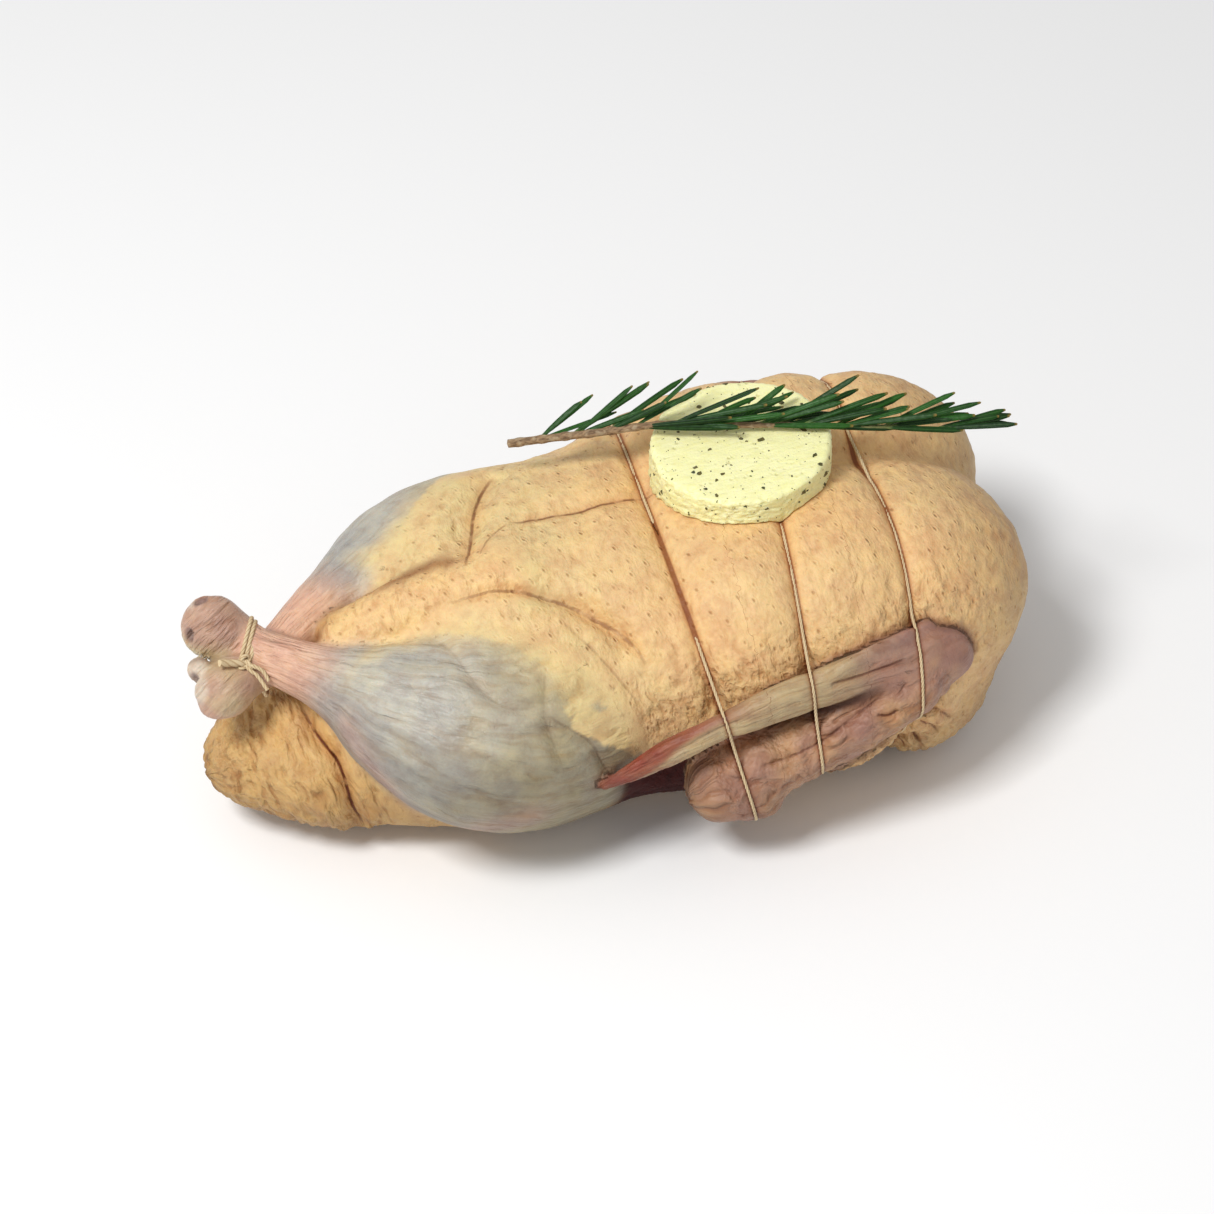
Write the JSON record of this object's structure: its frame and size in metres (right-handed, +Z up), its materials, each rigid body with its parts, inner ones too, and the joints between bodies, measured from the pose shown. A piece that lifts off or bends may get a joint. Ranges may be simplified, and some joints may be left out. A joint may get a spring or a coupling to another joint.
{
  "type": "trussed raw duck",
  "caption": "Whole raw duck lying on its back, legs crossed and tied at the hocks, wings folded, trunk bound with thin twine, topped with a herb butter disc and a rosemary sprig.",
  "frame": {"origin": "Centre of the bounding box in plan, at its bottom, which is the flat underside the bird lies on.", "axes": "+X from the tail and the tied hocks towards the neck end, along the length. +Z up, through the breast. The bird lies on its back, so its own left side, with the leg that crosses on top, faces -Y."},
  "size_m": [0.3122, 0.1811, 0.139],
  "materials": {
    "skin": "moist raw poultry skin with a satin gloss",
    "twine": "undyed cotton, matte",
    "butter": "cold herb butter, matte with dark green flecks",
    "rosemary": "fresh needles, slightly glossy, on a tan stem"
  },
  "bodies": {
    "root": {"bird": "skin", "twine_loop_1": "twine", "twine_loop_2": "twine", "twine_loop_3": "twine", "leg_tie": "twine", "herb_butter": "butter", "rosemary_sprig": "rosemary"}
  },
  "joints": []
}
